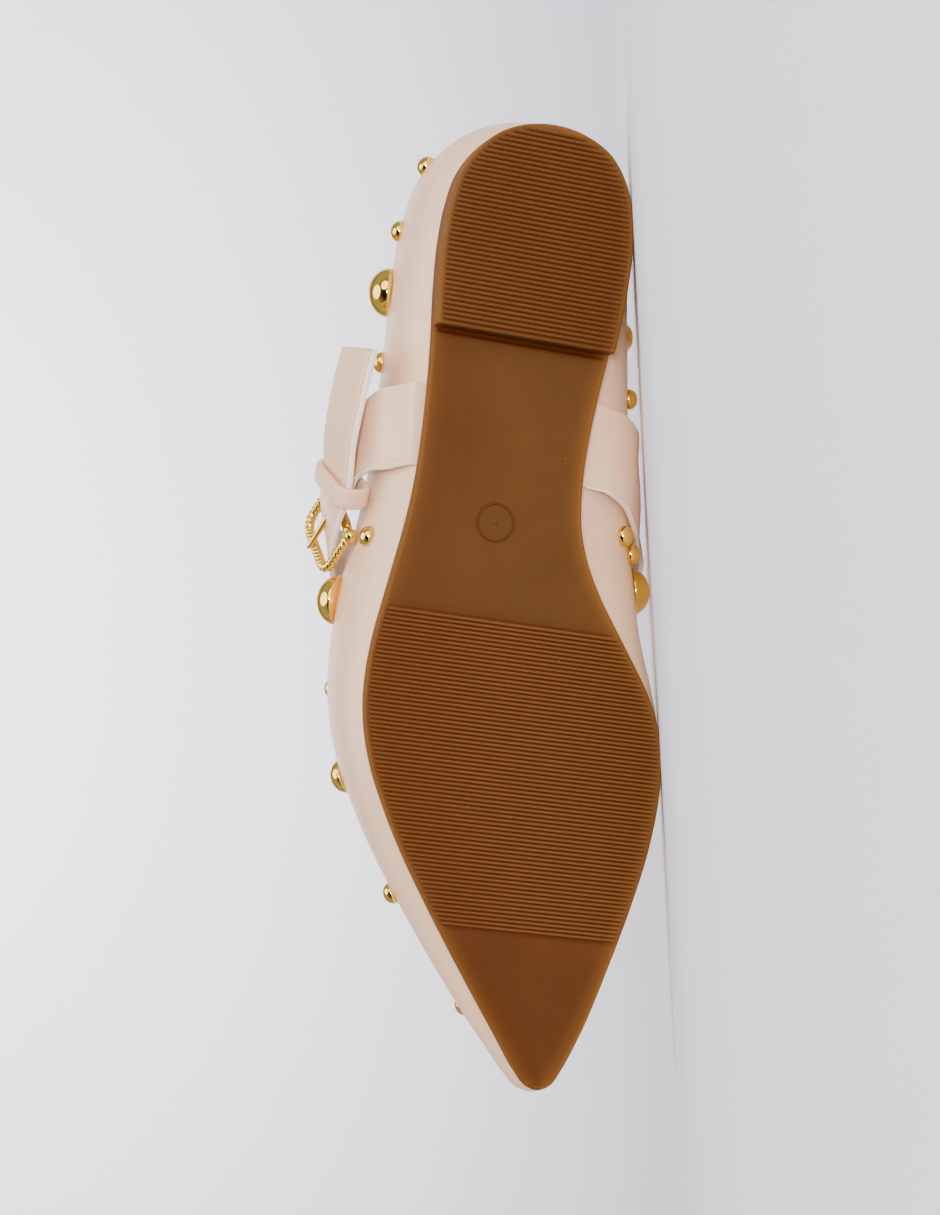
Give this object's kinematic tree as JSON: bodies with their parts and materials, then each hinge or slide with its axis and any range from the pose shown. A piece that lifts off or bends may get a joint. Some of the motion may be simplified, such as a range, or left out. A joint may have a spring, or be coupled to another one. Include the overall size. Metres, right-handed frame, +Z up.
{
  "type": "ballet flat",
  "caption": "Pointed ballet flat with a leather upper, rubber sole with a low heel, buckled instep strap and dome studs, lying on its inner side.",
  "frame": {"origin": "on the floor, under the middle of the box round the shoe as it lies on its inner side", "axes": "+X towards the toe, +Y the way the sole faces, +Z up from the floor, towards the outer side of the shoe"},
  "size_m": [0.262, 0.085, 0.0963],
  "materials": {
    "rubber": "satin",
    "leather": "satin",
    "lining": "matte",
    "gold": "polished"
  },
  "bodies": {
    "root": {"buckle_frame": "gold", "buckle_prong": "gold", "insole": "lining", "outsole": "rubber", "strap": "leather", "strap_anchor": "leather", "strap_keeper": "leather", "stud_01_small": "gold", "stud_02_small": "gold", "stud_03_small": "gold", "stud_04_small": "gold", "stud_05_large": "gold", "stud_06_medium": "gold", "stud_07_small": "gold", "stud_08_medium": "gold", "stud_09_small": "gold", "stud_10_small": "gold", "stud_11_large": "gold", "stud_12_small": "gold", "stud_13_small": "gold", "stud_14_small": "gold", "stud_15_medium": "gold", "stud_16_small": "gold", "stud_17_small": "gold", "stud_18_small": "gold", "stud_19_large": "gold", "stud_20_small": "gold", "stud_21_small": "gold", "stud_22_large": "gold", "stud_23_small": "gold", "stud_24_medium": "gold", "stud_25_small": "gold", "stud_26_medium": "gold", "stud_27_small": "gold", "stud_28_large": "gold", "stud_29_small": "gold", "stud_30_medium": "gold", "stud_31_small": "gold", "stud_32_large": "gold", "stud_33_small": "gold", "stud_34_medium": "gold", "stud_35_small": "gold", "stud_36_large": "gold", "stud_37_small": "gold", "stud_38_medium": "gold", "stud_39_small": "gold", "upper": "leather"}
  },
  "joints": []
}
